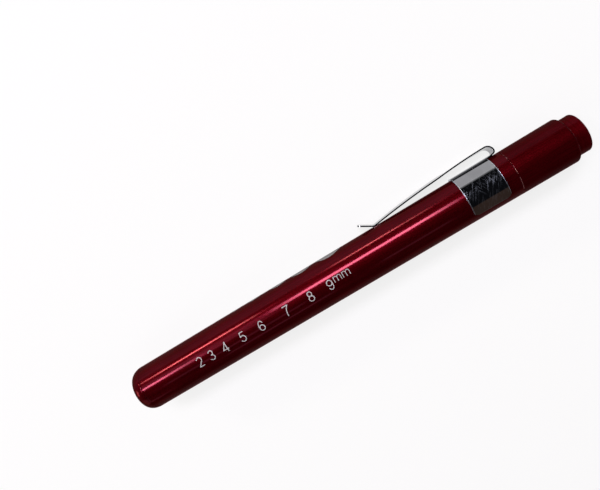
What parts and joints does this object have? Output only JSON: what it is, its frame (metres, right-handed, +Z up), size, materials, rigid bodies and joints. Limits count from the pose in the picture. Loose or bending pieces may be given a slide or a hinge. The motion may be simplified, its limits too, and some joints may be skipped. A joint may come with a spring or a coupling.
{
  "type": "penlight",
  "caption": "Slim red aluminium penlight with a push-button tail, a looped spring-steel pocket clip and a plain pupil gauge along the barrel.",
  "frame": {"origin": "on the barrel's axis, at the middle of the overall length", "axes": "+X along the barrel towards the lens, +Z up, as it lies on a table on its clip and band"},
  "size_m": [0.1411, 0.0161, 0.0138],
  "materials": {
    "red_anodised": "gloss",
    "clip_steel": "polished",
    "clear_lens": "gloss",
    "bright_reflector": "polished",
    "led_epoxy": "gloss",
    "tinned_wire": "satin",
    "white_plastic": "satin",
    "green_board": "satin",
    "black_plastic": "satin",
    "black_rubber": "matte",
    "contact_brass": "satin",
    "spring_wire": "gloss",
    "cell_steel": "satin",
    "cell_sleeve": "gloss",
    "plain_aluminium": "satin"
  },
  "bodies": {
    "barrel": {"barrel": "red_anodised", "lens": "clear_lens", "clip_band": "clip_steel", "lens_gasket": "black_rubber", "reflector": "bright_reflector", "led": "led_epoxy", "led_leads": "tinned_wire", "led_holder": "white_plastic", "led_board": "green_board", "series_resistor": "black_plastic", "earth_strip": "contact_brass", "cell_stop_ring": "white_plastic", "contact_spring": "spring_wire", "front_cell_can": "cell_steel", "front_cell_sleeve": "cell_sleeve", "front_cell_plate": "cell_steel", "front_cell_seal": "black_plastic", "rear_cell_can": "cell_steel", "rear_cell_sleeve": "cell_sleeve", "rear_cell_plate": "cell_steel", "rear_cell_seal": "black_plastic"},
    "cap_slider": {"battery_spring": "spring_wire"},
    "tail_cap": {"tail_cap": "red_anodised", "switch_body": "black_plastic", "switch_retainer": "plain_aluminium", "centre_contact": "contact_brass", "ring_contact": "contact_brass", "button_spring": "spring_wire"},
    "button": {"tail_button": "red_anodised", "switch_plunger": "white_plastic", "contact_disc": "contact_brass"},
    "clip_arm": {"clip_arm": "clip_steel"}
  },
  "joints": [
    {"name": "cap_lead", "type": "slide", "parent": "barrel", "child": "cap_slider", "axis": [-1, 0, 0], "range_m": [0, 0.00525]},
    {"name": "cap_unscrew", "type": "hinge", "parent": "cap_slider", "child": "tail_cap", "pos_m": [-0.05035, 0, 0], "axis": [-1, 0, 0], "range_deg": [0, 2521]},
    {"name": "button_press", "type": "slide", "parent": "tail_cap", "child": "button", "axis": [1, 0, 0], "range_m": [0, 0.002], "stiffness_N_per_m": 800, "deforming": ["button_spring"]},
    {"name": "clip_flex", "type": "hinge", "parent": "barrel", "child": "clip_arm", "pos_m": [-0.04795, -0.0064, -0.00395], "axis": [0, 0.5259, -0.8506], "range_deg": [0, 5], "stiffness_Nm_per_rad": 1.5}
  ],
  "couplings": [
    {"joint": "cap_unscrew", "follows": "cap_lead", "rad_per_m": 8377.6}
  ]
}
